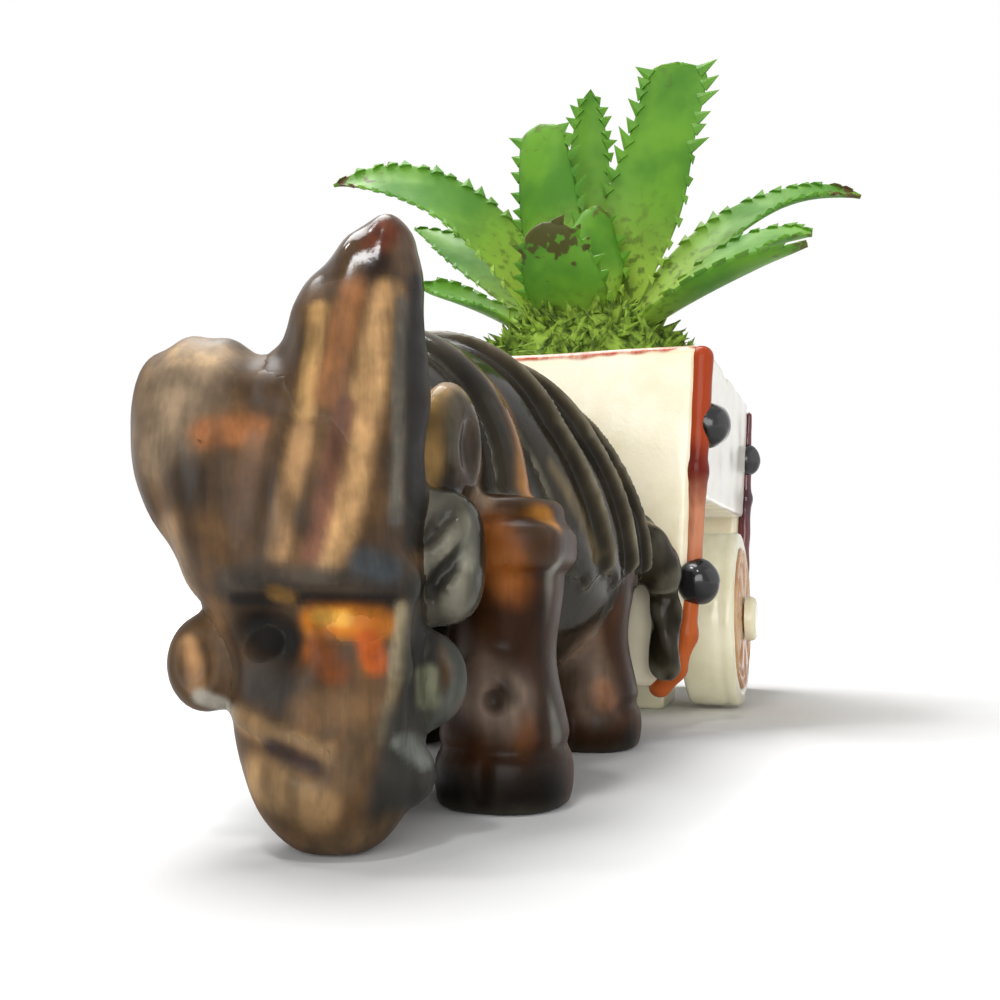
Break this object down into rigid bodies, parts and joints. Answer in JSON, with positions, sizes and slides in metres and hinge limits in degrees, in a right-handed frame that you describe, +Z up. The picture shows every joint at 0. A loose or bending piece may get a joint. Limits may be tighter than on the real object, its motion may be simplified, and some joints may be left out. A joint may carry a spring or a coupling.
{
  "type": "animal cart planter",
  "caption": "Glazed ceramic ox with lowered head drawing a cream two-wheeled cart whose box is a planter, with an artificial aloe standing in it.",
  "frame": {"origin": "on the ground under the middle of the whole piece's box", "axes": "+Z up, -Y the way the ox faces, +X to the ox's left"},
  "size_m": [0.1231, 0.2105, 0.1504],
  "materials": {
    "ox_glaze": "gloss, dark olive brown, ochre where it thins on the ridges",
    "horn_glaze": "gloss, streaked tan and brown",
    "ochre_glaze": "gloss, ochre",
    "strap_glaze": "gloss, pale tan",
    "amber_glaze": "gloss, amber",
    "cart_cream": "gloss, cream",
    "edge_red": "gloss, rust red and orange",
    "stud_dark": "gloss, blue black",
    "wheel_cream": "gloss, olive cream",
    "rosette_orange": "gloss, carved orange brown",
    "bare_clay": "unglazed",
    "plant_foam": "matt foam",
    "moss": "matt flock",
    "leaf_green": "satin soft plastic"
  },
  "bodies": {
    "cart_and_ox": {"back_band_1": "ox_glaze", "back_band_2": "ox_glaze", "back_band_3": "ox_glaze", "back_band_4": "ox_glaze", "body_shell": "ox_glaze", "cart_tub": "cart_cream", "edge_studs": "stud_dark", "front_board": "cart_cream", "front_left_leg": "ox_glaze", "front_left_post": "edge_red", "front_right_leg": "ox_glaze", "front_right_post": "edge_red", "head": "horn_glaze", "left_axle_peg": "bare_clay", "left_ear": "horn_glaze", "left_eye": "amber_glaze", "left_horn": "horn_glaze", "left_hub_cap": "rosette_orange", "neck_collar": "ochre_glaze", "noseband": "strap_glaze", "rear_board": "cart_cream", "rear_left_leg": "ox_glaze", "rear_left_post": "edge_red", "rear_right_leg": "ox_glaze", "rear_right_post": "edge_red", "right_axle_peg": "bare_clay", "right_ear": "horn_glaze", "right_eye": "ox_glaze", "right_horn": "horn_glaze", "right_hub_cap": "rosette_orange", "support_block": "cart_cream", "tail": "ox_glaze"},
    "left_wheel": {"left_wheel": "wheel_cream", "left_wheel_rosette": "rosette_orange"},
    "right_wheel": {"right_wheel": "wheel_cream", "right_wheel_rosette": "rosette_orange"},
    "plant": {"brown_tip_leaf": "leaf_green", "front_leaf": "leaf_green", "heart_leaf": "leaf_green", "left_arching_leaf": "leaf_green", "left_low_leaf": "leaf_green", "left_second_leaf": "leaf_green", "rear_left_leaf": "leaf_green", "rear_low_leaf": "leaf_green", "rear_right_leaf": "leaf_green", "rear_upright_leaf": "leaf_green", "right_arching_leaf": "leaf_green", "right_low_leaf": "leaf_green", "right_second_leaf": "leaf_green", "slim_leaf": "leaf_green", "tall_leaf": "leaf_green", "foam_plug": "plant_foam", "moss_mat": "moss", "plant_core": "plant_foam"}
  },
  "joints": [
    {"name": "left_wheel_spin", "type": "hinge", "parent": "cart_and_ox", "child": "left_wheel", "pos_m": [0.0296, 0.052, 0.0195], "axis": [1, 0, 0], "continuous": true},
    {"name": "right_wheel_spin", "type": "hinge", "parent": "cart_and_ox", "child": "right_wheel", "pos_m": [-0.0296, 0.052, 0.0195], "axis": [1, 0, 0], "continuous": true},
    {"name": "plant_lift", "type": "slide", "parent": "cart_and_ox", "child": "plant", "axis": [0, 0, 1], "range_m": [0, 0.09]}
  ]
}
